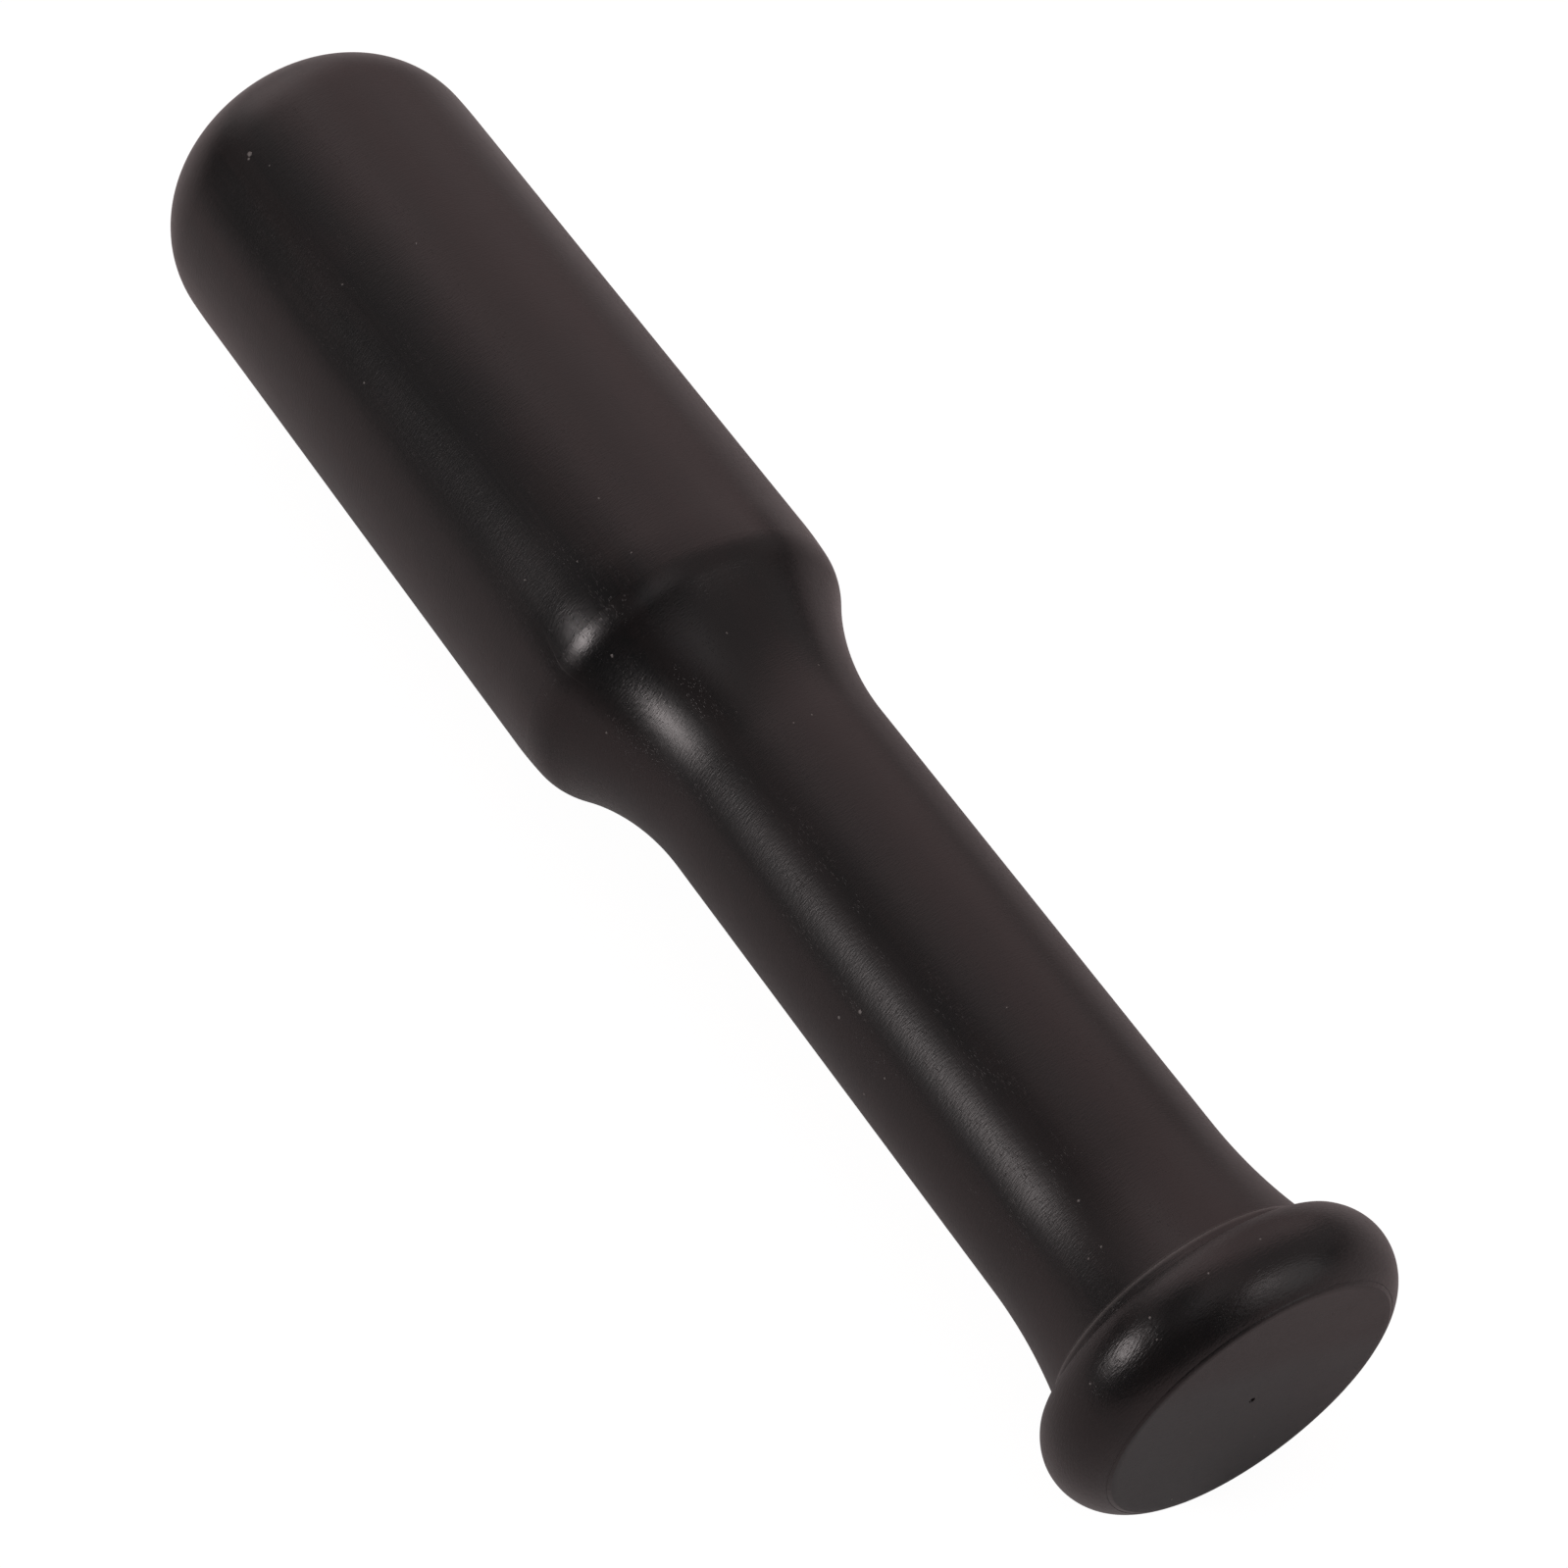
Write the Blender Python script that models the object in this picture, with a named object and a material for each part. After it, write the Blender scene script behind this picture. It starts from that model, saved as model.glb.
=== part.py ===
"""A turned wooden pounder for sauerkraut, lying on its side, in metres.

Its axis runs along X, from the domed head at -X to the flat face of the end knob at +X.
The table's surface is z = 0, and the middle of the length is x = 0.
Head, handle and end knob are turned pieces of one dark wood. The handle has a round tenon
at each end, glued into a blind socket in the head and in the knob, and each seam lies in a
line of the turning: the soft arris of the shoulder, and the neck in front of the bead.
Outlines are lists of (x, r): x along the axis from the tip of the dome, r out from the axis.
"""

from math import acos, asin, cos, pi, radians, sin, tan

import bmesh
import bpy

# Head
HEAD_LENGTH = 0.1166  # from the tip of the dome to the seam at the arris
HEAD_DIAMETER = 0.0500  # where the shoulder starts to ease over
HEAD_TAPER = 0.0004  # how much slimmer the head is where the dome starts
NOSE_RADIUS = 0.0364  # the flatter middle of the dome
NOSE_CORNER_RADIUS = 0.0159  # the rounder edge of the dome
SHOULDER_EASE_RADIUS = 0.102  # the long, faint easing in front of the arris
SHOULDER_EASE_LENGTH = 0.0080

# Handle
HANDLE_LENGTH = 0.1195  # between its two seams, without the tenons
SHOULDER_RADIUS = 0.0085  # the arris rolling over into the cove
COVE_RADIUS = 0.0392
GRIP_HEAD_DIAMETER = 0.0348  # the grip, where the cove runs out
GRIP_KNOB_DIAMETER = 0.0352  # the grip, where the flare starts
FLARE_RADIUS = 0.0620
NECK_DIAMETER = 0.0400  # where the flare meets the knob

# End knob
KNOB_DIAMETER = 0.0515
BEAD_RADIUS = 0.0073  # the round of the knob, seen in section
FLANK_SLOPE = radians(60)  # the straight flank between the neck and the bead
FACE_DIAMETER = 0.0428
RIM_WIDTH = 0.0005  # the narrow land round the flat face
RIM_SLOPE = radians(78)

# Joinery
TENON_DIAMETER = 0.0220
HEAD_TENON_LENGTH = 0.0350
KNOB_TENON_LENGTH = 0.0085
TENON_CHAMFER = 0.0010
SEAM_GAP = 0.0003  # between the two faces at each seam
TENON_CLEARANCE = 0.0003  # round the tenon, for the glue
GLUE_ROOM = 0.0010  # past the end of the tenon

# Oiled dark wood: base colour and roughness
HEAD_FINISH = ((0.024, 0.018, 0.017), 0.38)
HANDLE_FINISH = ((0.026, 0.019, 0.018), 0.36)
KNOB_FINISH = ((0.024, 0.018, 0.018), 0.36)

# Facets
SEGMENTS = 64  # round the axis
ARC_STEP = radians(7.5)  # about what one facet of an arc turns
LONG_ARC_STEPS = 4  # fewest facets of a faint, long arc
SHARP_EDGE = radians(10)  # more than one facet of an arc turns, and less than any real edge
MERGE = 0.000001  # closes the spin at its start and on the axis


def bend(outline, radius, slope_from, slope_to, fewest=2):
    """Adds an arc to an outline. Its slope against the axis goes from one angle to the other.

    A slope that falls gives a convex arc, and one that rises gives a hollow one.
    """
    x0, r0 = outline[-1]
    turn = 1 if slope_to > slope_from else -1
    steps = max(fewest, round(abs(slope_to - slope_from) / ARC_STEP))
    for i in range(1, steps + 1):
        slope = slope_from + (slope_to - slope_from) * i / steps
        x = x0 + turn * radius * (sin(slope) - sin(slope_from))
        r = r0 + turn * radius * (cos(slope_from) - cos(slope))
        outline.append((x, r))


def ease_slope():
    """How far the head's side has turned in when it reaches the arris."""
    return asin(SHOULDER_EASE_LENGTH / SHOULDER_EASE_RADIUS)


def tenon(seam_x, way, length):
    """From the middle of a tenon's end out to its root at the seam; way is +1 or -1 in x."""
    tenon_r = TENON_DIAMETER / 2
    end_x = seam_x + way * length
    return [
        (end_x, 0),
        (end_x, tenon_r - TENON_CHAMFER),
        (end_x - way * TENON_CHAMFER, tenon_r),
        (seam_x, tenon_r),
    ]


def socket(seam_x, way, tenon_length):
    """From the mouth of a blind socket at the seam to the middle of its floor."""
    socket_r = TENON_DIAMETER / 2 + TENON_CLEARANCE
    floor_x = seam_x + way * (tenon_length - SEAM_GAP + GLUE_ROOM)
    return [(seam_x, socket_r), (floor_x, socket_r), (floor_x, 0)]


def head_outline():
    """From the tip over the dome and the side to the arris, and back down its socket."""
    nose_r = (HEAD_DIAMETER - HEAD_TAPER) / 2
    # The two arcs of the dome meet where the corner arc will end level with the side.
    meeting_slope = acos((nose_r - NOSE_CORNER_RADIUS) / (NOSE_RADIUS - NOSE_CORNER_RADIUS))
    outline = [(0, 0)]
    bend(outline, NOSE_RADIUS, pi / 2, meeting_slope)
    bend(outline, NOSE_CORNER_RADIUS, meeting_slope, 0)
    outline.append((HEAD_LENGTH - SHOULDER_EASE_LENGTH, HEAD_DIAMETER / 2))
    bend(outline, SHOULDER_EASE_RADIUS, 0, -ease_slope(), LONG_ARC_STEPS)
    return outline + socket(HEAD_LENGTH, -1, HEAD_TENON_LENGTH)


def handle_outline():
    """From the tenon in the head over the shoulder, cove, grip and flare to the other tenon."""
    start_x = HEAD_LENGTH + SEAM_GAP
    end_x = HEAD_LENGTH + HANDLE_LENGTH
    arris_r = HEAD_DIAMETER / 2 - SHOULDER_EASE_RADIUS * (1 - cos(ease_slope()))
    head_grip_r = GRIP_HEAD_DIAMETER / 2
    knob_grip_r = GRIP_KNOB_DIAMETER / 2
    neck_r = NECK_DIAMETER / 2
    # The steepest slope, where the round shoulder turns into the hollow cove.
    reach_r = SHOULDER_RADIUS * cos(ease_slope()) + COVE_RADIUS - (arris_r - head_grip_r)
    cove_slope = acos(reach_r / (SHOULDER_RADIUS + COVE_RADIUS))
    neck_slope = acos(1 - (neck_r - knob_grip_r) / FLARE_RADIUS)

    outline = tenon(start_x, -1, HEAD_TENON_LENGTH)
    outline.append((start_x, arris_r))
    bend(outline, SHOULDER_RADIUS, -ease_slope(), -cove_slope)
    bend(outline, COVE_RADIUS, -cove_slope, 0)
    outline.append((end_x - FLARE_RADIUS * sin(neck_slope), knob_grip_r))
    bend(outline, FLARE_RADIUS, 0, neck_slope, LONG_ARC_STEPS)
    return outline + tenon(end_x, 1, KNOB_TENON_LENGTH)[::-1]


def knob_outline():
    """From the floor of its socket out to the neck, over the bead and across the flat face."""
    start_x = HEAD_LENGTH + HANDLE_LENGTH + SEAM_GAP
    crest_r = KNOB_DIAMETER / 2
    neck_r = NECK_DIAMETER / 2
    face_r = FACE_DIAMETER / 2
    rim_r = face_r + RIM_WIDTH
    flank_top_r = crest_r - BEAD_RADIUS * (1 - cos(FLANK_SLOPE))
    rim_slope = acos(1 - (crest_r - rim_r) / BEAD_RADIUS)

    outline = socket(start_x, 1, KNOB_TENON_LENGTH)[::-1]
    outline.append((start_x, neck_r))
    outline.append((start_x + (flank_top_r - neck_r) / tan(FLANK_SLOPE), flank_top_r))
    bend(outline, BEAD_RADIUS, FLANK_SLOPE, 0)
    bend(outline, BEAD_RADIUS, 0, -rim_slope)
    face_x = outline[-1][0] + RIM_WIDTH / tan(RIM_SLOPE)
    return outline + [(face_x, face_r), (face_x, 0)]


def clear_scene():
    for thing in list(bpy.data.objects):
        bpy.data.objects.remove(thing, do_unlink=True)


def wood(name, finish):
    colour, roughness = finish
    material = bpy.data.materials.new(name)
    material.use_nodes = True
    shader = material.node_tree.nodes["Principled BSDF"]
    shader.inputs["Base Color"].default_value = (*colour, 1)
    shader.inputs["Roughness"].default_value = roughness
    shader.inputs["Metallic"].default_value = 0
    return material


def turn(name, outline, material, tip_x):
    """Spins an outline round the axis. The middle of each facet touches the true circle."""
    shape = bmesh.new()
    corner = 1 / cos(pi / SEGMENTS)
    line = [shape.verts.new((x, r * corner, 0)) for x, r in outline]
    edges = [shape.edges.new(pair) for pair in zip(line, line[1:])]
    bmesh.ops.spin(shape, geom=line + edges, axis=(1, 0, 0), angle=2 * pi, steps=SEGMENTS)
    bmesh.ops.remove_doubles(shape, verts=shape.verts, dist=MERGE)
    bmesh.ops.recalc_face_normals(shape, faces=shape.faces)
    mesh = bpy.data.meshes.new(name)
    shape.to_mesh(mesh)
    shape.free()
    mesh.shade_smooth()
    mesh.set_sharp_from_angle(angle=SHARP_EDGE)
    mesh.materials.append(material)

    piece = bpy.data.objects.new(name, mesh)
    bpy.context.scene.collection.objects.link(piece)
    piece.rotation_euler.x = pi / SEGMENTS  # lies on a facet, not on an edge
    piece.location.x = tip_x
    piece.location.z = max(HEAD_DIAMETER, KNOB_DIAMETER) / 2


def main():
    clear_scene()
    knob = knob_outline()
    length = knob[-1][0]
    turn("head", head_outline(), wood("head_wood", HEAD_FINISH), -length / 2)
    turn("handle", handle_outline(), wood("handle_wood", HANDLE_FINISH), -length / 2)
    turn("end_knob", knob, wood("knob_wood", KNOB_FINISH), -length / 2)
    print(f"length {length * 1000:.2f} mm")


main()
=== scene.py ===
from math import acos, asin, ceil, cos, hypot, pi, radians, sin, tan

import bmesh
import bpy
from mathutils import Matrix, Vector


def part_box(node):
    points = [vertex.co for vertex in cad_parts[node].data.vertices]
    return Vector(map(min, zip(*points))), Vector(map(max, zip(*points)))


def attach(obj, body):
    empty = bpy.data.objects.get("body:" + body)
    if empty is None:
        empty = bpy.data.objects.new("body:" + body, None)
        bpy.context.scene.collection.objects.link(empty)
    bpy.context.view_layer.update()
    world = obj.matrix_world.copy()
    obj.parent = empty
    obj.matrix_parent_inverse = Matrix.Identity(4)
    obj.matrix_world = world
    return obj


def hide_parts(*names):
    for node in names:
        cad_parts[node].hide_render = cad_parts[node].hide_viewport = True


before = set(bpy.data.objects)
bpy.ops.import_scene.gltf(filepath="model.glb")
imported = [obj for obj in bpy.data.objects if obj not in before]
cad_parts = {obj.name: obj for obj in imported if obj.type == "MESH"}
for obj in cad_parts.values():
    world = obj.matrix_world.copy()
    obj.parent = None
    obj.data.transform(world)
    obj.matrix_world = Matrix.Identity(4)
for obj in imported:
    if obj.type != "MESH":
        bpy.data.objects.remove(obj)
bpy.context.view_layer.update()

# A turned wooden pounder for sauerkraut, lying on its side. X runs from the dome to the flat end.
# All lengths are in metres and all angles in degrees, unless a note says otherwise.
# Outlines are lists of (x, r): x from the tip of the dome, r out from the axis.

scene = bpy.context.scene
scene.view_settings.view_transform = "Standard"

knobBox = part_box("end_knob")
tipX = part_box("head")[0][0]
knobEnd = knobBox[1][0] - tipX
axisHeight = (knobBox[0][2] + knobBox[1][2]) / 2
print("frame: tip at", round(tipX, 6), "axis at", round(axisHeight, 6))


def directionTo(azimuth, elevation):
    # azimuth counts from +X towards +Y, elevation up from the floor
    a, e = radians(azimuth), radians(elevation)
    return Vector((cos(a) * cos(e), sin(a) * cos(e), sin(e)))


def addNode(tree, kind, inputs=None, **settings):
    node = tree.nodes.new(kind)
    for name, value in settings.items():
        setattr(node, name, value)
    for key, value in (inputs or {}).items():
        socket = node.inputs[key]
        if isinstance(value, bpy.types.NodeSocket):
            tree.links.new(value, socket)
        else:
            socket.default_value = value
    return node


def addMath(tree, operation, *values):
    node = addNode(tree, "ShaderNodeMath", dict(enumerate(values)), operation=operation)
    return node.outputs[0]


def addVectorMath(tree, operation, *values, output=0):
    node = addNode(tree, "ShaderNodeVectorMath", dict(enumerate(values)), operation=operation)
    return node.outputs[output]


def mapRange(tree, value, fromMin, fromMax, toMin=0.0, toMax=1.0, kind="SMOOTHSTEP"):
    return addNode(tree, "ShaderNodeMapRange", {
        "Value": value, "From Min": fromMin, "From Max": fromMax, "To Min": toMin, "To Max": toMax},
        interpolation_type=kind).outputs["Result"]


def mixColours(tree, factor, a, b):
    # sockets 6 and 7 and output 2 are the mix node's colours
    return addNode(tree, "ShaderNodeMix", {0: factor, 6: a, 7: b}, data_type="RGBA").outputs[2]


def startTree(name, kind, inputs, outputs):
    tree = bpy.data.node_groups.new(name, kind)
    for label, socketType, default in inputs:
        socket = tree.interface.new_socket(label, in_out="INPUT", socket_type=socketType)
        if default is not None:
            socket.default_value = default
    for label, socketType in outputs:
        tree.interface.new_socket(label, in_out="OUTPUT", socket_type=socketType)
    return tree, tree.nodes.new("NodeGroupInput").outputs, tree.nodes.new("NodeGroupOutput").inputs


# the camera stands where the photograph was taken
cameraView = {
    "azimuth": 57.58,  # 0 looks along +Y
    "elevation": 55.57,
    "distance": 0.6335,
    "right": 0.00921,
    "up": -0.0106,
    "roll": -0.11,
    "lens": 106.15,  # mm, as is the sensor's width
    "sensorWidth": 36,
    "nearest": 0.01,
}


def placeCamera():
    a, e = radians(cameraView["azimuth"]), radians(cameraView["elevation"])
    towards = Vector((sin(a) * cos(e), -cos(a) * cos(e), sin(e)))
    right = Vector((cos(a), sin(a), 0))
    up = towards.cross(right)
    camera = bpy.data.objects.new("camera", bpy.data.cameras.new("camera"))
    camera.data.lens = cameraView["lens"]
    camera.data.sensor_width = cameraView["sensorWidth"]
    camera.data.clip_start = cameraView["nearest"]
    place = Vector((0, 0, axisHeight)) + right * cameraView["right"] + up * cameraView["up"]
    place += towards * cameraView["distance"]
    roll = radians(cameraView["roll"])
    rolledRight = right * cos(roll) + up * sin(roll)
    rolledUp = up * cos(roll) - right * sin(roll)
    turned = Matrix((rolledRight, rolledUp, towards)).transposed()
    camera.matrix_world = Matrix.Translation(place) @ turned.to_4x4()
    scene.collection.objects.link(camera)
    scene.camera = camera


placeCamera()
print("camera placed")


head = {
    "length": 0.1166,
    "radius": 0.02507,
    "noseRadius": 0.02492,  # where the dome runs into the side
    "domeMiddle": 0.0364,
    "domeEdge": 0.0159,
    "domeEaseRadius": 0.11,  # the faint last easing of the dome
    "domeEaseSlope": 2.5,
    "easeRadius": 0.058,  # the faint easing in front of the arris
    "easeLength": 0.0054,
    "seed": 3.0,
}
easeSlope = asin(head["easeLength"] / head["easeRadius"])  # radians
arrisRadius = head["radius"] - head["easeRadius"] * (1 - cos(easeSlope))

handle = {
    "length": 0.1195,
    "shoulderRadius": 0.0085,
    "coveRadius": 0.0392,
    "gripAtHead": 0.0174,
    "gripAtKnob": 0.0176,
    "flareRadius": 0.0720,
    "neckRadius": 0.01985,
    "seed": 3.0,
}

knob = {
    "radius": 0.02575,
    "crest": 0.24357,  # from the tip of the dome to the widest place of the bead
    "beadBefore": 0.00675,  # the bead's radius on the side of the neck
    "beadAfter": 0.0075,  # and on the side of the face
    "beadStarts": 41,  # slope where the bead rises from its edge above the neck
    "edgeRadius": 0.0006,
    "wallSlope": 80,  # the steep wall between the edge and the neck
    "stepSlope": 68,  # the knob stands a hair proud of the handle at their seam
    "stepRadius": 0.0006,
    "neckSlope": 12,
    "hollowRadius": 0.0004,  # the corner between neck and wall
    "faceRadius": 0.0212,
    "brokenAlong": 0.00004,  # the face's edge is broken this far along X and out
    "brokenOut": 0.00008,
    "rimWidth": 0.0006,
    "lineWidth": 0.00016,  # the fine line beside the rim
    "lineDepth": 0.00004,
    "markRadius": 0.0005,  # the lathe's centre mark in the face
    "markDepth": 0.0006,
    "markBend": (0.7, 0.6),  # where its steep wall ends, as shares of depth and radius
    "seed": 3.0,
}

joinery = {
    "tenonRadius": 0.0110,
    "headTenon": 0.0350,
    "knobTenon": 0.0085,
    "chamfer": 0.0010,
    "clearance": 0.0003,
    "glueRoom": 0.0007,
    "seam": 0.00002,  # what is left of the gap at a closed joint
}

turning = {
    "segments": 256,
    "unevenness": 0.0014,  # share of the radius that the hand leaves uneven
    "unevenScale": 45.0,
    "rings": 0.0006,  # share of the radius in the faint rings of the turning
    "ringScale": 260.0,
    "sharpAngle": 28,
    "mergeWithin": 0.000001,
    "endStartsBefore": 0.00001,  # the end grain takes what lies this close to the flat face
}

steps = {  # the longest stretch of an outline between two points
    "line": 0.0009, "arc": 0.00055, "fewestOnArc": 3,
    "dome": 0.0005, "shoulder": 0.0004, "wall": 0.0004, "bead": 0.0003, "neck": 0.0002,
    "corner": 0.0001,
    "jointFloor": 0.004, "jointSide": 0.012, "jointChamfer": 0.002,
}


def addArc(outline, radius, slopeFrom, slopeTo, step=steps["arc"]):
    # slopes are in radians; a falling slope gives a convex arc, a rising one a hollow
    x0, r0 = outline[-1]
    turn = 1 if slopeTo > slopeFrom else -1
    count = max(steps["fewestOnArc"], ceil(abs(slopeTo - slopeFrom) * radius / step))
    for i in range(1, count + 1):
        slope = slopeFrom + (slopeTo - slopeFrom) * i / count
        outline.append((x0 + turn * radius * (sin(slope) - sin(slopeFrom)),
                        r0 + turn * radius * (cos(slopeFrom) - cos(slope))))


def addLine(outline, x, r, step=steps["line"]):
    x0, r0 = outline[-1]
    count = ceil(hypot(x - x0, r - r0) / step)
    for i in range(1, count + 1):
        outline.append((x0 + (x - x0) * i / count, r0 + (r - r0) * i / count))


def addSocket(outline, way, tenonLength):
    mouth = outline[-1][0]
    radius = joinery["tenonRadius"] + joinery["clearance"]
    floor = mouth + way * (tenonLength + joinery["glueRoom"])
    addLine(outline, mouth, radius, steps["jointFloor"])
    addLine(outline, floor, radius, steps["jointSide"])
    addLine(outline, floor, 0, steps["jointFloor"])


def addTenon(outline, way, length):
    root = outline[-1][0]
    radius, chamfer, end = joinery["tenonRadius"], joinery["chamfer"], root + way * length
    addLine(outline, root, radius, steps["jointFloor"])
    addLine(outline, end - way * chamfer, radius, steps["jointSide"])
    addLine(outline, end, radius - chamfer, steps["jointChamfer"])
    addLine(outline, end, 0, steps["jointFloor"])


def headOutline():
    middle, edge = head["domeMiddle"], head["domeEdge"]
    ease = radians(head["domeEaseSlope"])
    edgeEnds = head["noseRadius"] - head["domeEaseRadius"] * (1 - cos(ease))
    meeting = acos((edgeEnds - edge * cos(ease)) / (middle - edge))
    outline = [(0, 0)]
    addArc(outline, middle, pi / 2, meeting, steps["dome"])
    addArc(outline, edge, meeting, ease, steps["dome"])
    addArc(outline, head["domeEaseRadius"], ease, 0)
    addLine(outline, head["length"] - head["easeLength"], head["radius"])
    addArc(outline, head["easeRadius"], 0, -easeSlope)
    addSocket(outline, -1, joinery["headTenon"])
    return outline


def handleOutline():
    start = head["length"] + joinery["seam"]
    end = head["length"] + handle["length"]
    shoulder, cove, flare = handle["shoulderRadius"], handle["coveRadius"], handle["flareRadius"]
    reach = shoulder * cos(easeSlope) + cove - (arrisRadius - handle["gripAtHead"])
    steepest = acos(reach / (shoulder + cove))
    neckSlope = acos(1 - (handle["neckRadius"] - handle["gripAtKnob"]) / flare)
    outline = [(start, arrisRadius)]
    addTenon(outline, -1, joinery["headTenon"])
    outline.reverse()
    addArc(outline, shoulder, -easeSlope, -steepest, steps["shoulder"])
    addArc(outline, cove, -steepest, 0)
    addLine(outline, end - flare * sin(neckSlope), handle["gripAtKnob"])
    addArc(outline, flare, 0, neckSlope)
    addTenon(outline, 1, joinery["knobTenon"])
    return outline


def knobOutline():
    start = head["length"] + handle["length"] + joinery["seam"]
    wall, bead = radians(knob["wallSlope"]), radians(knob["beadStarts"])
    step, rise = radians(knob["stepSlope"]), radians(knob["neckSlope"])
    before, after, edge = knob["beadBefore"], knob["beadAfter"], knob["edgeRadius"]
    beadEnd = acos(1 - (knob["radius"] - (knob["faceRadius"] + knob["rimWidth"])) / after)
    # the wall's top follows from the bead, and its foot from the wall
    topX = knob["crest"] - before * sin(bead) - edge * (sin(wall) - sin(bead))
    topRadius = knob["radius"] - before * (1 - cos(bead)) - edge * (cos(bead) - cos(wall))
    outline = [(start, handle["neckRadius"])]
    addSocket(outline, 1, joinery["knobTenon"])
    outline.reverse()
    addArc(outline, knob["stepRadius"], step, rise, steps["corner"])
    x, r = outline[-1]
    # where the neck's line and the wall's meet, less what the corner takes away
    meetX = (topRadius - r + x * tan(rise) - topX * tan(wall)) / (tan(rise) - tan(wall))
    footX = meetX - knob["hollowRadius"] * tan((wall - rise) / 2) * cos(rise)
    addLine(outline, footX, r + (footX - x) * tan(rise), steps["neck"])
    addArc(outline, knob["hollowRadius"], rise, wall, steps["corner"])
    addLine(outline, topX, topRadius, steps["wall"])
    addArc(outline, edge, wall, bead, steps["corner"])
    addArc(outline, before, bead, 0, steps["bead"])
    addArc(outline, after, 0, -beadEnd, steps["bead"])
    x, r = outline[-1]
    # the fine line is a small notch, deepest at half its width
    outline.append((x - knob["lineDepth"], r - knob["lineWidth"] / 2))
    outline.append((x + knob["lineWidth"] / 3, r - knob["lineWidth"]))
    outline.append((knobEnd - knob["brokenAlong"], knob["faceRadius"] + knob["brokenOut"]))
    outline.append((knobEnd, knob["faceRadius"]))
    addLine(outline, knobEnd, knob["markRadius"])
    bendDepth, bendRadius = knob["markBend"]
    outline.append((knobEnd - knob["markDepth"] * bendDepth, knob["markRadius"] * bendRadius))
    outline.append((knobEnd - knob["markDepth"], 0))
    return outline


def turnedPieceTree():
    tree, given, result = startTree("turnedPiece", "GeometryNodeTree", [
        ("Outline", "NodeSocketGeometry", None),
        ("Segments", "NodeSocketInt", 256),
        ("Axis Height", "NodeSocketFloat", 0.025),
        ("Unevenness", "NodeSocketFloat", 0.0),
        ("Uneven Scale", "NodeSocketFloat", 45.0),
        ("Rings", "NodeSocketFloat", 0.0),
        ("Ring Scale", "NodeSocketFloat", 260.0),
        ("Sharp Angle", "NodeSocketFloat", 0.5),
        ("Seed", "NodeSocketFloat", 0.0),
        ("End Starts", "NodeSocketFloat", 1.0),
        ("Wood", "NodeSocketMaterial", None),
        ("End Wood", "NodeSocketMaterial", None),
    ], [("Geometry", "NodeSocketGeometry")])

    size = addNode(tree, "GeometryNodeAttributeDomainSize", {"Geometry": given["Outline"]},
                   component="MESH")
    count = size.outputs["Point Count"]
    grid = addNode(tree, "GeometryNodeMeshGrid", {
        "Size X": 1.0, "Size Y": 1.0, "Vertices X": count,
        "Vertices Y": addMath(tree, "ADD", given["Segments"], 1.0)})

    # every row of the grid becomes one point of the outline, every column one turn of the lathe
    position = addNode(tree, "GeometryNodeInputPosition").outputs[0]
    flat = addNode(tree, "ShaderNodeSeparateXYZ", {0: position})
    row = addMath(tree, "MULTIPLY", addMath(tree, "ADD", flat.outputs[0], 0.5),
                  addMath(tree, "SUBTRACT", count, 1.0))
    angle = addMath(tree, "MULTIPLY", addMath(tree, "ADD", flat.outputs[1], 0.5), 2 * pi)
    outlinePoint = addNode(tree, "GeometryNodeSampleIndex", {
        "Geometry": given["Outline"], "Value": position, "Index": addMath(tree, "ROUND", row)},
        data_type="FLOAT_VECTOR", domain="POINT")
    profile = addNode(tree, "ShaderNodeSeparateXYZ", {0: outlinePoint.outputs["Value"]})
    x, radius = profile.outputs[0], profile.outputs[2]

    # the hand leaves the radius slightly uneven, always inwards
    spun = addNode(tree, "ShaderNodeCombineXYZ", {
        0: x,
        1: addMath(tree, "MULTIPLY", radius, addMath(tree, "SINE", angle)),
        2: addMath(tree, "MULTIPLY", radius, addMath(tree, "COSINE", angle))})
    bumps = addNode(tree, "ShaderNodeTexNoise", {
        "Vector": spun.outputs[0], "W": given["Seed"], "Scale": given["Uneven Scale"],
        "Detail": 1.0}, noise_dimensions="4D")
    rings = addNode(tree, "ShaderNodeTexNoise", {
        "W": addMath(tree, "ADD", x, given["Seed"]), "Scale": given["Ring Scale"],
        "Detail": 1.0}, noise_dimensions="1D")
    loss = addMath(tree, "ADD",
                   addMath(tree, "MULTIPLY", bumps.outputs[0], given["Unevenness"]),
                   addMath(tree, "MULTIPLY", rings.outputs[0], given["Rings"]))
    kept = addMath(tree, "SUBTRACT", 1.0, loss)
    share = addNode(tree, "ShaderNodeCombineXYZ", {0: 1.0, 1: kept, 2: kept})
    lift = addNode(tree, "ShaderNodeCombineXYZ", {2: given["Axis Height"]})
    turned = addVectorMath(tree, "MULTIPLY", spun.outputs[0], share.outputs[0])
    placed = addNode(tree, "GeometryNodeSetPosition", {
        "Geometry": grid.outputs["Mesh"],
        "Position": addVectorMath(tree, "ADD", turned, lift.outputs[0])})
    closed = addNode(tree, "GeometryNodeMergeByDistance", {
        "Geometry": placed.outputs[0], "Distance": turning["mergeWithin"]})

    smooth = addNode(tree, "GeometryNodeSetShadeSmooth", {
        "Geometry": closed.outputs[0], "Shade Smooth": True}, domain="FACE")
    bend = addNode(tree, "GeometryNodeInputMeshEdgeAngle").outputs["Unsigned Angle"]
    edge = addNode(tree, "FunctionNodeCompare", {0: bend, 1: given["Sharp Angle"]},
                   data_type="FLOAT", operation="GREATER_THAN")
    crisp = addNode(tree, "GeometryNodeSetShadeSmooth", {
        "Geometry": smooth.outputs[0], "Selection": edge.outputs[0], "Shade Smooth": False},
        domain="EDGE")

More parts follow.
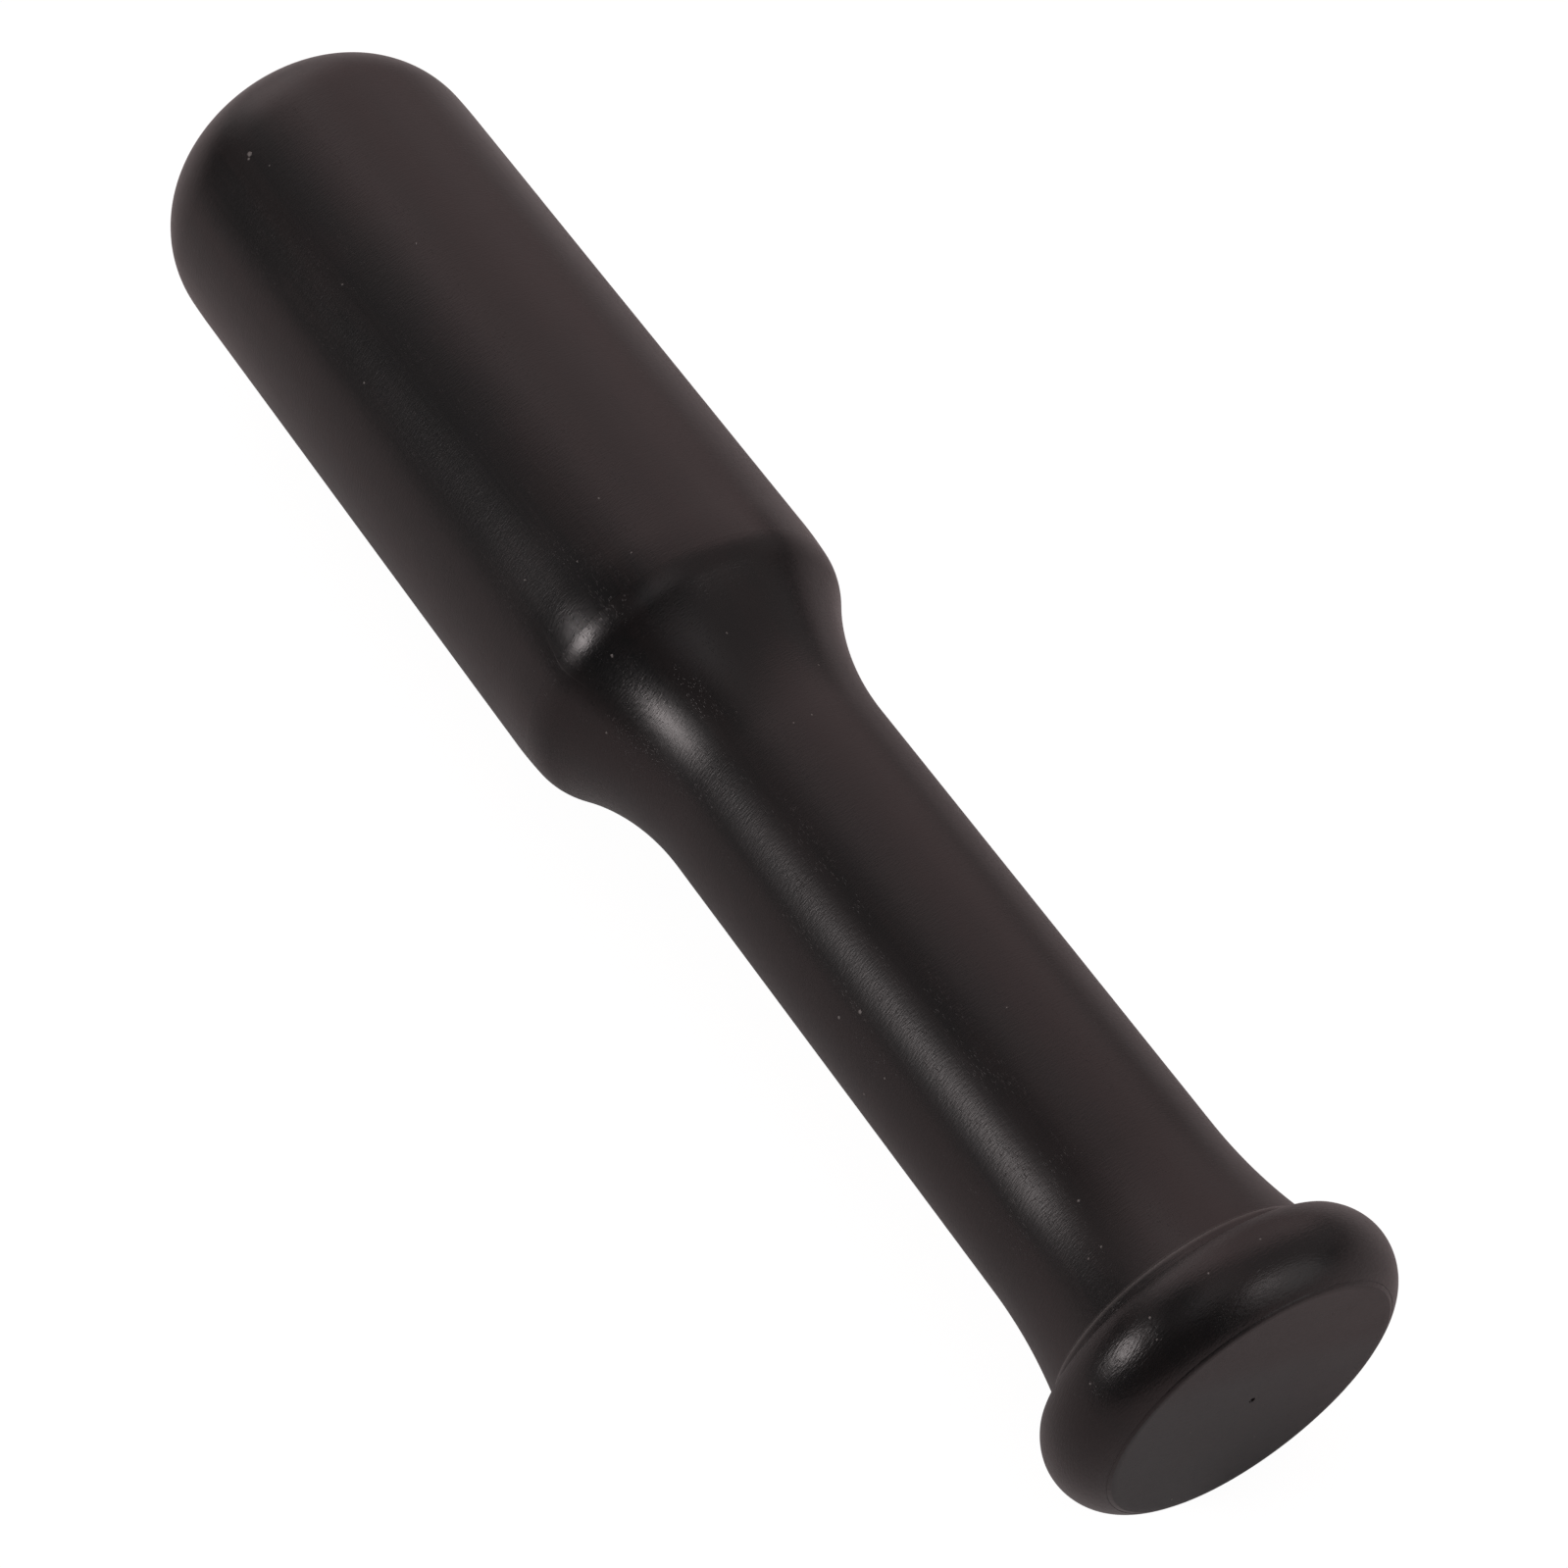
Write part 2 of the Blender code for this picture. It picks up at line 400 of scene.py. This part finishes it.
    real = addNode(tree, "GeometryNodeRealizeInstances", {"Geometry": crisp.outputs[0]})
    allWood = addNode(tree, "GeometryNodeSetMaterial", {
        "Geometry": real.outputs[0], "Material": given["Wood"]})
    here = addNode(tree, "ShaderNodeSeparateXYZ", {0: position})
    atEnd = addNode(tree, "FunctionNodeCompare", {0: here.outputs[0], 1: given["End Starts"]},
                    data_type="FLOAT", operation="GREATER_THAN")
    endWood = addNode(tree, "GeometryNodeSetMaterial", {
        "Geometry": allWood.outputs[0], "Selection": atEnd.outputs[0],
        "Material": given["End Wood"]})
    tree.links.new(endWood.outputs[0], result["Geometry"])
    return tree


def turnPiece(name, outline, values, tree):
    line = bpy.data.meshes.new(name + "Outline")
    edges = [(i, i + 1) for i in range(len(outline) - 1)]
    line.from_pydata([(tipX + x, 0, r) for x, r in outline], edges, [])
    rough = bpy.data.objects.new(name + "Outline", line)
    scene.collection.objects.link(rough)
    modifier = rough.modifiers.new("turning", "NODES")
    modifier.node_group = tree
    inputs = {s.name: s.identifier for s in tree.interface.items_tree if s.in_out == "INPUT"}
    for label, value in values.items():
        modifier[inputs[label]] = value
    bpy.context.view_layer.update()
    evaluated = rough.evaluated_get(bpy.context.evaluated_depsgraph_get())
    mesh = bpy.data.meshes.new_from_object(evaluated)
    mesh.name = name
    bpy.data.objects.remove(rough)
    used = {face.material_index for face in mesh.polygons}
    for slot in reversed(range(len(mesh.materials))):
        if slot not in used:
            mesh.materials.pop(index=slot)
    piece = bpy.data.objects.new(name, mesh)
    scene.collection.objects.link(piece)

    check = bmesh.new()
    check.from_mesh(mesh)
    openEdges = sum(len(edge.link_faces) != 2 for edge in check.edges)
    cubicCm = round(check.calc_volume(signed=True) * 1e6, 2)
    print(name, "faces", len(mesh.polygons), "volume", cubicCm, "cm3", "open edges", openEdges,
          "materials", [material.name for material in mesh.materials])
    check.free()
    return piece


# scales are (along X, across it), and the streaks mix broad, fine and mottled noise
grainLook = {
    "swayScale": (12, 30), "sway": 0.004,  # the streaks wander sideways this far
    "broadScale": (9, 130), "broadShare": 0.5,
    "fineScale": (45, 1500), "fineShare": 0.15, "fineHeight": 0.25,
    "mottleScale": (55, 120), "mottleShare": 0.35,
    "fibreScale": (320, 6500), "fibreHeight": 0.30,
    "streakStarts": 0.40, "streakFull": 0.62,
    "poreScale": (800, 5200), "poreEnds": 0.30, "poreFull": 0.10,
    "poreColour": (0.005, 0.004, 0.004), "poreRougher": 0.15,
    "patchScale": (90, 420), "patchStarts": 0.42, "patchFull": 0.62,  # pores stand in patches
}


def woodGrainGroup():
    # nearly black and red-brown streaks along X, with fine fibres and short open pores
    group, given, result = startTree("darkWoodGrain", "ShaderNodeTree", [
        ("Place", "NodeSocketVector", None),
        ("Dark", "NodeSocketColor", (0.012, 0.011, 0.011, 1)),
        ("Warm", "NodeSocketColor", (0.021, 0.012, 0.012, 1)),
        ("Streaks", "NodeSocketFloat", 0.6),
        ("Pores", "NodeSocketFloat", 0.5),
        ("Roughness", "NodeSocketFloat", 0.4),
        ("Roughness Play", "NodeSocketFloat", 0.05),
    ], [
        ("Colour", "NodeSocketColor"),
        ("Roughness", "NodeSocketFloat"),
        ("Height", "NodeSocketFloat"),
    ])
    place = given["Place"]

    def stretched(vector, scale):
        along, across = grainLook[scale]
        return addVectorMath(group, "MULTIPLY", vector, (along, across, across))

    def grainNoise(vector, scale, detail=1.0, roughness=0.5):
        return addNode(group, "ShaderNodeTexNoise", {
            "Vector": stretched(vector, scale), "Scale": 1.0, "Detail": detail,
            "Roughness": roughness}).outputs

    def weighed(value, weight):
        return addMath(group, "MULTIPLY", value, grainLook[weight])

    sway = grainNoise(place, "swayScale")["Color"]
    sway = addVectorMath(group, "SUBTRACT", sway, (0.5, 0.5, 0.5))
    sway = addVectorMath(group, "MULTIPLY", sway, (0, grainLook["sway"], grainLook["sway"]))
    wavy = addVectorMath(group, "ADD", place, sway)
    broad = grainNoise(wavy, "broadScale", detail=3.0, roughness=0.6)[0]
    fine = grainNoise(wavy, "fineScale", detail=2.0)[0]
    fibre = grainNoise(wavy, "fibreScale")[0]
    mottle = grainNoise(place, "mottleScale", detail=2.0, roughness=0.55)[0]

    streak = addMath(group, "ADD", weighed(broad, "broadShare"), weighed(fine, "fineShare"))
    streak = addMath(group, "ADD", streak, weighed(mottle, "mottleShare"))
    streak = mapRange(group, streak, grainLook["streakStarts"], grainLook["streakFull"])
    streak = addMath(group, "MULTIPLY", streak, given["Streaks"])
    colour = mixColours(group, streak, given["Dark"], given["Warm"])

    cells = addNode(group, "ShaderNodeTexVoronoi", {
        "Vector": stretched(wavy, "poreScale"), "Scale": 1.0, "Randomness": 1.0}, feature="F1")
    pore = mapRange(group, cells.outputs["Distance"], grainLook["poreEnds"], grainLook["poreFull"])
    patch = grainNoise(place, "patchScale")[0]
    patch = mapRange(group, patch, grainLook["patchStarts"], grainLook["patchFull"])
    pore = addMath(group, "MULTIPLY", pore, patch)
    poreShare = addMath(group, "MULTIPLY", pore, given["Pores"])
    colour = mixColours(group, poreShare, colour, (*grainLook["poreColour"], 1))
    group.links.new(colour, result["Colour"])

    play = addMath(group, "SUBTRACT", addMath(group, "ADD", mottle, fine), 1.0)
    play = addMath(group, "MULTIPLY", play, given["Roughness Play"])
    roughness = addMath(group, "ADD", given["Roughness"], play)
    roughness = addMath(group, "ADD", roughness, weighed(poreShare, "poreRougher"))
    group.links.new(roughness, result["Roughness"])

    height = addMath(group, "ADD", weighed(fibre, "fibreHeight"), weighed(fine, "fineHeight"))
    group.links.new(addMath(group, "SUBTRACT", height, pore), result["Height"])
    return group


# the crossing strokes lean, are coarser, and come from another part of the noise
sandingLook = {"lean": 1.6, "apart": 7.0, "crossingScale": 0.8, "crossingShare": 0.6}


def sandingGroup():
    # fine marks of the sandpaper, drawn out by the vector that comes in
    group, given, result = startTree("sandingMarks", "ShaderNodeTree", [
        ("Drawn Place", "NodeSocketVector", None),
    ], [("Height", "NodeSocketFloat")])
    drawn = given["Drawn Place"]
    x, y, z = addNode(group, "ShaderNodeSeparateXYZ", {0: drawn}).outputs
    leaning = addNode(group, "ShaderNodeCombineXYZ", {
        0: addMath(group, "ADD", x, addMath(group, "MULTIPLY", y, sandingLook["lean"])),
        1: y,
        2: addMath(group, "ADD", z, sandingLook["apart"])})
    marks = addNode(group, "ShaderNodeTexNoise", {"Vector": drawn, "Scale": 1.0, "Detail": 2.0})
    crossing = addNode(group, "ShaderNodeTexNoise", {
        "Vector": leaning.outputs[0], "Scale": sandingLook["crossingScale"], "Detail": 1.0})
    crossing = addMath(group, "MULTIPLY", crossing.outputs[0], sandingLook["crossingShare"])
    height = addMath(group, "ADD", marks.outputs[0], crossing)
    group.links.new(height, result["Height"])
    return group


fleckLook = {
    "colour": (0.15, 0.135, 0.13), "depth": 0.00006, "rougher": 0.15,
    "ragged": 0.00027, "raggedScale": 4200,  # how far its edge wanders, and how finely
    "fadeEnds": 1.2, "fadeStarts": 0.6,  # shares of the fleck's radius
}


def fleckGroup():
    group, given, result = startTree("fleck", "ShaderNodeTree", [
        ("Place", "NodeSocketVector", None),
        ("Middle", "NodeSocketVector", None),
        ("Radius", "NodeSocketFloat", 0.0002),
    ], [("Mask", "NodeSocketFloat")])
    apart = addVectorMath(group, "DISTANCE", given["Place"], given["Middle"], output=1)
    apart = addMath(group, "DIVIDE", apart, given["Radius"])
    mask = mapRange(group, apart, fleckLook["fadeEnds"], fleckLook["fadeStarts"])
    group.links.new(mask, result["Mask"])
    return group


def scratchGroup():
    # one thin line over the shoulder; its place round the axis follows from X
    group, given, result = startTree("scratch", "ShaderNodeTree", [
        ("Place", "NodeSocketVector", None),
        ("Start X", "NodeSocketFloat", 0.0),
        ("Bend X", "NodeSocketFloat", 0.0),
        ("End X", "NodeSocketFloat", 0.0),
        ("Start Angle", "NodeSocketFloat", 0.0),
        ("End Angle", "NodeSocketFloat", 0.0),
        ("Width", "NodeSocketFloat", 0.003),
    ], [("Mask", "NodeSocketFloat")])
    parts = addNode(group, "ShaderNodeSeparateXYZ", {0: given["Place"]}).outputs
    x, angle = parts[0], addMath(group, "ARCTAN2", parts[1], parts[2])
    wanted = mapRange(group, x, given["Start X"], given["Bend X"],
                      given["Start Angle"], given["End Angle"], "LINEAR")
    apart = addMath(group, "ABSOLUTE", addMath(group, "SUBTRACT", angle, wanted))
    line = mapRange(group, apart, given["Width"], 0.0)
    for end in ("Start X", "End X"):
        line = addMath(group, "MULTIPLY", line, mapRange(group, x, given[end], given["Bend X"]))
    group.links.new(line, result["Mask"])
    return group


# The offset takes the grain from its own part of the noise, drawnOut scales the sanding along
# X, Y and Z, and flecks are (mm from the tip, angle round the axis from the top, radius in mm).
# On the flat face the first number is the distance from the axis in mm.
mmPerMetre = 1000
headFinish = {
    "dark": (0.0082, 0.0082, 0.0084), "warm": (0.0140, 0.0100, 0.0100),
    "streaks": 0.6, "pores": 0.35, "roughness": 0.345, "play": 0.06,
    "grainDepth": 0.000012, "offset": (0.0, 0.0, 0.0),
    "drawnOut": (5200, 1000, 1000), "sandingDepth": 0.000022,
    "flecks": [
        (19.95, -30.7, 0.36), (20.5, -32.0, 0.20), (23.98, -27.8, 0.14), (50.17, -5.3, 0.14),
        (48.16, -32.5, 0.14), (62.26, -47, 0.16), (102.56, -9.5, 0.14), (112.6, -12, 0.14),
        (104.57, -43.7, 0.16), (108.6, -26.7, 0.14), (34, 118, 0.15), (71, 151, 0.20),
        (95, 97, 0.14), (57, -128, 0.16), (88, 206, 0.15)],
}
handleFinish = {
    "dark": (0.0078, 0.0078, 0.0080), "warm": (0.0135, 0.0098, 0.0098),
    "streaks": 0.6, "pores": 0.35, "roughness": 0.345, "play": 0.06,
    "grainDepth": 0.000012, "offset": (0.4, 0.013, 0.02),
    "drawnOut": (5200, 1000, 1000), "sandingDepth": 0.000022,
    "flecks": [
        (127.85, 0.8, 0.14), (135.83, 33, 0.14), (143.47, 12.5, 0.14), (143.47, 2.7, 0.12),
        (126.56, -63, 0.16), (121.63, -37.7, 0.20), (222.48, -26.2, 0.18), (229.35, -30, 0.16),
        (229.35, -36.8, 0.14), (182.32, -52.5, 0.30), (180.16, -63.5, 0.24),
        (195.27, -0.8, 0.14), (188.8, -82.2, 0.15), (190.96, -63.5, 0.14), (150, 124, 0.14),
        (171, 163, 0.18), (204, 104, 0.15), (216, -141, 0.14)],
}
knobFinish = {
    "dark": (0.0076, 0.0076, 0.0078), "warm": (0.0128, 0.0094, 0.0094),
    "streaks": 0.55, "pores": 0.35, "roughness": 0.31, "play": 0.05,
    "grainDepth": 0.000012, "offset": (0.9, 0.03, 0.01),
    "drawnOut": (5200, 1000, 1000), "sandingDepth": 0.000036,
    "flecks": [
        (242.72, 9.5, 0.14), (243.23, -8.5, 0.15), (243.23, -28.2, 0.16), (245.79, -30.5, 0.13),
        (243.75, -53.8, 0.16), (244.6, 131, 0.15), (242.9, -150, 0.14)],
}
faceFinish = {
    "dark": (0.0120, 0.0168, 0.0178), "warm": (0.0175, 0.0185, 0.0190),
    "streaks": 0.5, "pores": 0.45, "roughness": 0.42, "play": 0.05,
    "grainDepth": 0.000010, "offset": (0.9, 0.03, 0.01),
    "drawnOut": (300, 300, 3800), "sandingDepth": 0.000010, "turnedBy": 36.0,  # sanded across
    "flecks": [
        (16.05, 43.5, 0.13), (11.77, -13.7, 0.13), (11.77, 172.8, 0.12), (9.64, -81.5, 0.14),
        (19.26, -145.5, 0.15)],
}

# the end grain is darker and browner towards the top of the face
faceTopDarkening = {
    "toward": (0.0, 0.481, 0.876), "starts": 0.003, "full": 0.010,
    "share": 0.9, "colour": (0.0070, 0.0042, 0.0042)}
# the hand has worn the shoulder smoother
polish = {"middle": 0.1215, "full": 0.0055, "ends": 0.0175, "smoother": 0.070}
# painted highlight: a pale ring at the arris by the neck stands in for the light its edge catches
neckEdgeHighlight = {
    "middle": 0.23635, "full": 0.00004, "ends": 0.00056, "colour": (0.052, 0.047, 0.046)}
scratch = {
    "startX": 0.1100, "bendX": 0.1176, "endX": 0.1245, "startAngle": -47.5, "endAngle": -52.6,
    "width": 0.0045,  # radians round the axis
    "lighter": 0.10, "depth": 0.000006,
}
sheen = {"level": 0.34, "tint": (1.0, 0.91, 0.91)}


def radiusAt(outline, x):
    # the outermost radius of an outline at x
    found = []
    for (x0, r0), (x1, r1) in zip(outline, outline[1:]):
        if x0 != x1 and min(x0, x1) <= x <= max(x0, x1):
            found.append(r0 + (r1 - r0) * (x - x0) / (x1 - x0))
    return max(found)


def fleckMiddles(finish, outline, onFace):
    for first, angle, radius in finish["flecks"]:
        first, a = first / mmPerMetre, radians(angle)
        x, out = (knobEnd, first) if onFace else (first, radiusAt(outline, first))
        yield Vector((tipX + x, out * sin(a), out * cos(a))), radius / mmPerMetre


def fadeFrom(tree, x, look):
    # one at a place along X, fading out on both sides of it
    off = addMath(tree, "ABSOLUTE", addMath(tree, "SUBTRACT", x, tipX + look["middle"]))
    return mapRange(tree, off, look["ends"], look["full"])


def woodMaterial(name, finish, outline, onFace=False):
    material = bpy.data.materials.new(name)
    material.use_nodes = True
    tree = material.node_tree
    shader = tree.nodes["Principled BSDF"]
    where = addNode(tree, "ShaderNodeTexCoord").outputs["Object"]
    place = addVectorMath(tree, "SUBTRACT", where, (0, 0, axisHeight))

    grain = addNode(tree, "ShaderNodeGroup", {
        "Place": addVectorMath(tree, "ADD", place, finish["offset"]),
        "Dark": (*finish["dark"], 1), "Warm": (*finish["warm"], 1),
        "Streaks": finish["streaks"], "Pores": finish["pores"],
        "Roughness": finish["roughness"], "Roughness Play": finish["play"]},
        node_tree=woodGrain).outputs

    turned = addNode(tree, "ShaderNodeMapping", {
        "Vector": place, "Rotation": (radians(finish.get("turnedBy", 0)), 0, 0)})
    drawn = addVectorMath(tree, "MULTIPLY", turned.outputs[0], finish["drawnOut"])
    sanding = addNode(tree, "ShaderNodeGroup", {"Drawn Place": drawn}, node_tree=sandingMarks)

    # pale flecks in the pores, each with a ragged edge
    wobble = addNode(tree, "ShaderNodeTexNoise", {
        "Vector": place, "Scale": fleckLook["raggedScale"], "Detail": 1.0}).outputs["Color"]
    wobble = addVectorMath(tree, "SUBTRACT", wobble, (0.5, 0.5, 0.5))
    wobble = addVectorMath(tree, "MULTIPLY", wobble, (fleckLook["ragged"],) * 3)
    raggedPlace = addVectorMath(tree, "ADD", place, wobble)
    flecks = 0.0
    for middle, radius in fleckMiddles(finish, outline, onFace):
        spot = addNode(tree, "ShaderNodeGroup", {
            "Place": raggedPlace, "Middle": middle, "Radius": radius}, node_tree=fleck)
        flecks = addMath(tree, "MAXIMUM", flecks, spot.outputs["Mask"])

    line = addNode(tree, "ShaderNodeGroup", {
        "Place": place, "Start X": tipX + scratch["startX"], "Bend X": tipX + scratch["bendX"],
        "End X": tipX + scratch["endX"], "Start Angle": radians(scratch["startAngle"]),
        "End Angle": radians(scratch["endAngle"]), "Width": scratch["width"]},
        node_tree=scratchLine).outputs["Mask"]

    pale = (*fleckLook["colour"], 1)
    colour = mixColours(tree, flecks, grain["Colour"], pale)
    lighter = addMath(tree, "MULTIPLY", line, scratch["lighter"])
    colour = mixColours(tree, lighter, colour, pale)
    if onFace:
        # the face's colour runs darker and browner towards its top
        upFace = addVectorMath(tree, "DOT_PRODUCT", place, faceTopDarkening["toward"], output=1)
        topDarkening = mapRange(tree, upFace, faceTopDarkening["starts"], faceTopDarkening["full"])
        topDarkening = addMath(tree, "MULTIPLY", topDarkening, faceTopDarkening["share"])
        colour = mixColours(tree, topDarkening, colour, (*faceTopDarkening["colour"], 1))
    x = addNode(tree, "ShaderNodeSeparateXYZ", {0: place}).outputs[0]
    # painted highlight: a pale ring at the arris by the neck, in place of the light its edge
    # catches
    paintedEdgeHighlight = fadeFrom(tree, x, neckEdgeHighlight)
    colour = mixColours(tree, paintedEdgeHighlight, colour, (*neckEdgeHighlight["colour"], 1))
    tree.links.new(colour, shader.inputs["Base Color"])

    rougher = addMath(tree, "MULTIPLY", flecks, fleckLook["rougher"])
    roughness = addMath(tree, "ADD", grain["Roughness"], rougher)
    worn = addMath(tree, "MULTIPLY", fadeFrom(tree, x, polish), polish["smoother"])
    roughness = addMath(tree, "SUBTRACT", roughness, worn)
    tree.links.new(roughness, shader.inputs["Roughness"])

    reliefs = [
        (sanding.outputs["Height"], finish["sandingDepth"]),
        (grain["Height"], finish["grainDepth"]),
        (flecks, fleckLook["depth"]),
        (line, -scratch["depth"])]
    before = {}
    for height, depth in reliefs:
        bump = addNode(tree, "ShaderNodeBump", {
            "Height": height, "Strength": 1.0, "Distance": abs(depth), **before},
            invert=depth < 0)
        before = {"Normal": bump.outputs[0]}
    tree.links.new(before["Normal"], shader.inputs["Normal"])
    shader.inputs["Specular IOR Level"].default_value = sheen["level"]
    shader.inputs["Specular Tint"].default_value = (*sheen["tint"], 1)
    return material


woodGrain = woodGrainGroup()
sandingMarks = sandingGroup()
fleck = fleckGroup()
scratchLine = scratchGroup()
outlines = {"head": headOutline(), "handle": handleOutline(), "knob": knobOutline()}
headWood = woodMaterial("headWood", headFinish, outlines["head"])
handleWood = woodMaterial("handleWood", handleFinish, outlines["handle"])
knobWood = woodMaterial("knobWood", knobFinish, outlines["knob"])
endGrainWood = woodMaterial("endGrainWood", faceFinish, outlines["knob"], onFace=True)
print("wood ready")


def turnAll():
    tree = turnedPieceTree()
    shared = {
        "Segments": turning["segments"], "Axis Height": axisHeight,
        "Unevenness": turning["unevenness"], "Uneven Scale": turning["unevenScale"],
        "Rings": turning["rings"], "Ring Scale": turning["ringScale"],
        "Sharp Angle": radians(turning["sharpAngle"]),
        "End Starts": 1.0}  # further out than any piece, so only the knob has end grain
    faceX = tipX + knobEnd

    piece = turnPiece("headTurned", outlines["head"], {
        **shared, "Seed": head["seed"], "Wood": headWood, "End Wood": endGrainWood}, tree)
    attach(piece, "root")
    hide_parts("head")

    piece = turnPiece("handleTurned", outlines["handle"], {
        **shared, "Seed": handle["seed"], "Wood": handleWood, "End Wood": endGrainWood}, tree)
    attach(piece, "root")
    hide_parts("handle")

    piece = turnPiece("knobTurned", outlines["knob"], {
        **shared, "Seed": knob["seed"], "Wood": knobWood, "End Wood": endGrainWood,
        "End Starts": faceX - turning["endStartsBefore"]}, tree)
    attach(piece, "root")
    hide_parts("end_knob")


turnAll()
print("pieces turned")


# Soft studio light: azimuth counts from +X towards +Y, sizes are half angles seen from the object,
# and the level is what a mirror would show of the lamp.
keyLight = {
    "azimuth": 261.0, "elevation": 31.4, "distance": 1.5, "wide": 12.4, "tall": 6.2,
    "level": 18.0, "colour": (1.0, 1.0, 1.0)}
sideLight = {
    "azimuth": 36.4, "elevation": 20.9, "distance": 3.0, "wide": 20.3, "tall": 20.3,
    "level": 1.2, "colour": (1.0, 1.0, 1.0)}
edgeLight = {
    "azimuth": 29.0, "elevation": 39.0, "distance": 1.5, "wide": 6.0, "tall": 9.0,
    "level": 3.6, "colour": (1.0, 1.0, 1.0)}

surround = {
    "patches": [  # azimuth, elevation, where it starts to fade and where it ends, level, colour
        (149.8, 23.9, 34.6, 43.1, 0.49, (1.24, 0.90, 0.90)),
        (101.3, 50.7, 38.0, 53.0, 0.46, (1.06, 0.97, 0.97)),
        (186.0, 36.0, 17.0, 28.5, 0.62, (1.05, 0.98, 0.98)),
        (174.0, 4.0, 13.0, 27.0, 0.56, (1.0, 1.0, 1.0)),
        (194.6, 88.3, 5.1, 17.8, 0.286, (1.0, 1.0, 1.0)),
        (335.0, 73.0, 7.0, 20.0, 0.60, (0.98, 1.0, 1.02)),
    ],
    "glossShare": 0.01,  # how much of the white background a glossy surface sees
}

floorLook = {
    "colour": (0.80, 0.72, 0.72),
    "size": 8.0,
    "whiteShare": 0.84,  # how much of what the camera sees of it is plain white light
    "whiteLevel": 1.14,
    "glossShare": 0.01,
}


def addLamp(name, look):
    lamp = bpy.data.lights.new(name, "AREA")
    lamp.shape = "ELLIPSE"
    lamp.size = 2 * look["distance"] * tan(radians(look["wide"]))
    lamp.size_y = 2 * look["distance"] * tan(radians(look["tall"]))
    area = pi * lamp.size * lamp.size_y / 4
    lamp.energy = look["level"] * pi * area
    lamp.color = look["colour"]
    holder = bpy.data.objects.new(name, lamp)
    towards = directionTo(look["azimuth"], look["elevation"])
    holder.location = Vector((0, 0, axisHeight)) + towards * look["distance"]
    holder.rotation_euler = towards.to_track_quat("Z", "Y").to_euler()
    holder.visible_camera = False
    scene.collection.objects.link(holder)


def whiteRays(tree, glossShare):
    # all of what the camera sees is white, and a share of what gloss and glass show
    path = addNode(tree, "ShaderNodeLightPath").outputs
    gloss = addMath(tree, "ADD", path["Is Glossy Ray"], path["Is Transmission Ray"])
    gloss = addMath(tree, "MULTIPLY", gloss, glossShare)
    return addMath(tree, "MINIMUM", addMath(tree, "ADD", path["Is Camera Ray"], gloss), 1.0)


def makeSurround():
    world = bpy.data.worlds.new("surround")
    scene.world = world
    world.use_nodes = True
    tree = world.node_tree
    tree.nodes.clear()
    way = addNode(tree, "ShaderNodeTexCoord").outputs["Generated"]
    colour = (0.0, 0.0, 0.0)
    for azimuth, elevation, inner, outer, level, tint in surround["patches"]:
        off = addVectorMath(tree, "DOT_PRODUCT", way, directionTo(azimuth, elevation), output=1)
        patch = mapRange(tree, addMath(tree, "ARCCOSINE", off), radians(outer), radians(inner))
        lit = addNode(tree, "ShaderNodeVectorMath", {
            0: tuple(level * t for t in tint), "Scale": patch}, operation="SCALE")
        colour = addVectorMath(tree, "ADD", colour, lit.outputs[0])
    soft = addNode(tree, "ShaderNodeBackground", {"Color": colour, "Strength": 1.0})
    white = addNode(tree, "ShaderNodeBackground", {"Color": (1, 1, 1, 1), "Strength": 1.0})
    mixed = addNode(tree, "ShaderNodeMixShader", {
        0: whiteRays(tree, surround["glossShare"]), 1: soft.outputs[0], 2: white.outputs[0]})
    out = addNode(tree, "ShaderNodeOutputWorld")
    tree.links.new(mixed.outputs[0], out.inputs[0])


def makeFloor():
    half = floorLook["size"] / 2
    corners = [(-half, -half, 0), (half, -half, 0), (half, half, 0), (-half, half, 0)]
    mesh = bpy.data.meshes.new("floor")
    mesh.from_pydata(corners, [], [(0, 1, 2, 3)])
    floor = bpy.data.objects.new("floor", mesh)
    scene.collection.objects.link(floor)
    material = bpy.data.materials.new("paleFloor")
    material.use_nodes = True
    tree = material.node_tree
    tree.nodes.clear()
    plain = addNode(tree, "ShaderNodeBsdfDiffuse", {"Color": (*floorLook["colour"], 1)})
    white = addNode(tree, "ShaderNodeEmission", {
        "Color": (1, 1, 1, 1), "Strength": floorLook["whiteLevel"]})
    share = addMath(tree, "MULTIPLY", whiteRays(tree, floorLook["glossShare"]),
                    floorLook["whiteShare"])
    mixed = addNode(tree, "ShaderNodeMixShader", {
        0: share, 1: plain.outputs[0], 2: white.outputs[0]})
    out = addNode(tree, "ShaderNodeOutputMaterial")
    tree.links.new(mixed.outputs[0], out.inputs[0])
    mesh.materials.append(material)


addLamp("keyLamp", keyLight)
addLamp("sideLamp", sideLight)
addLamp("edgeLamp", edgeLight)
makeSurround()
makeFloor()
print("light and floor ready")
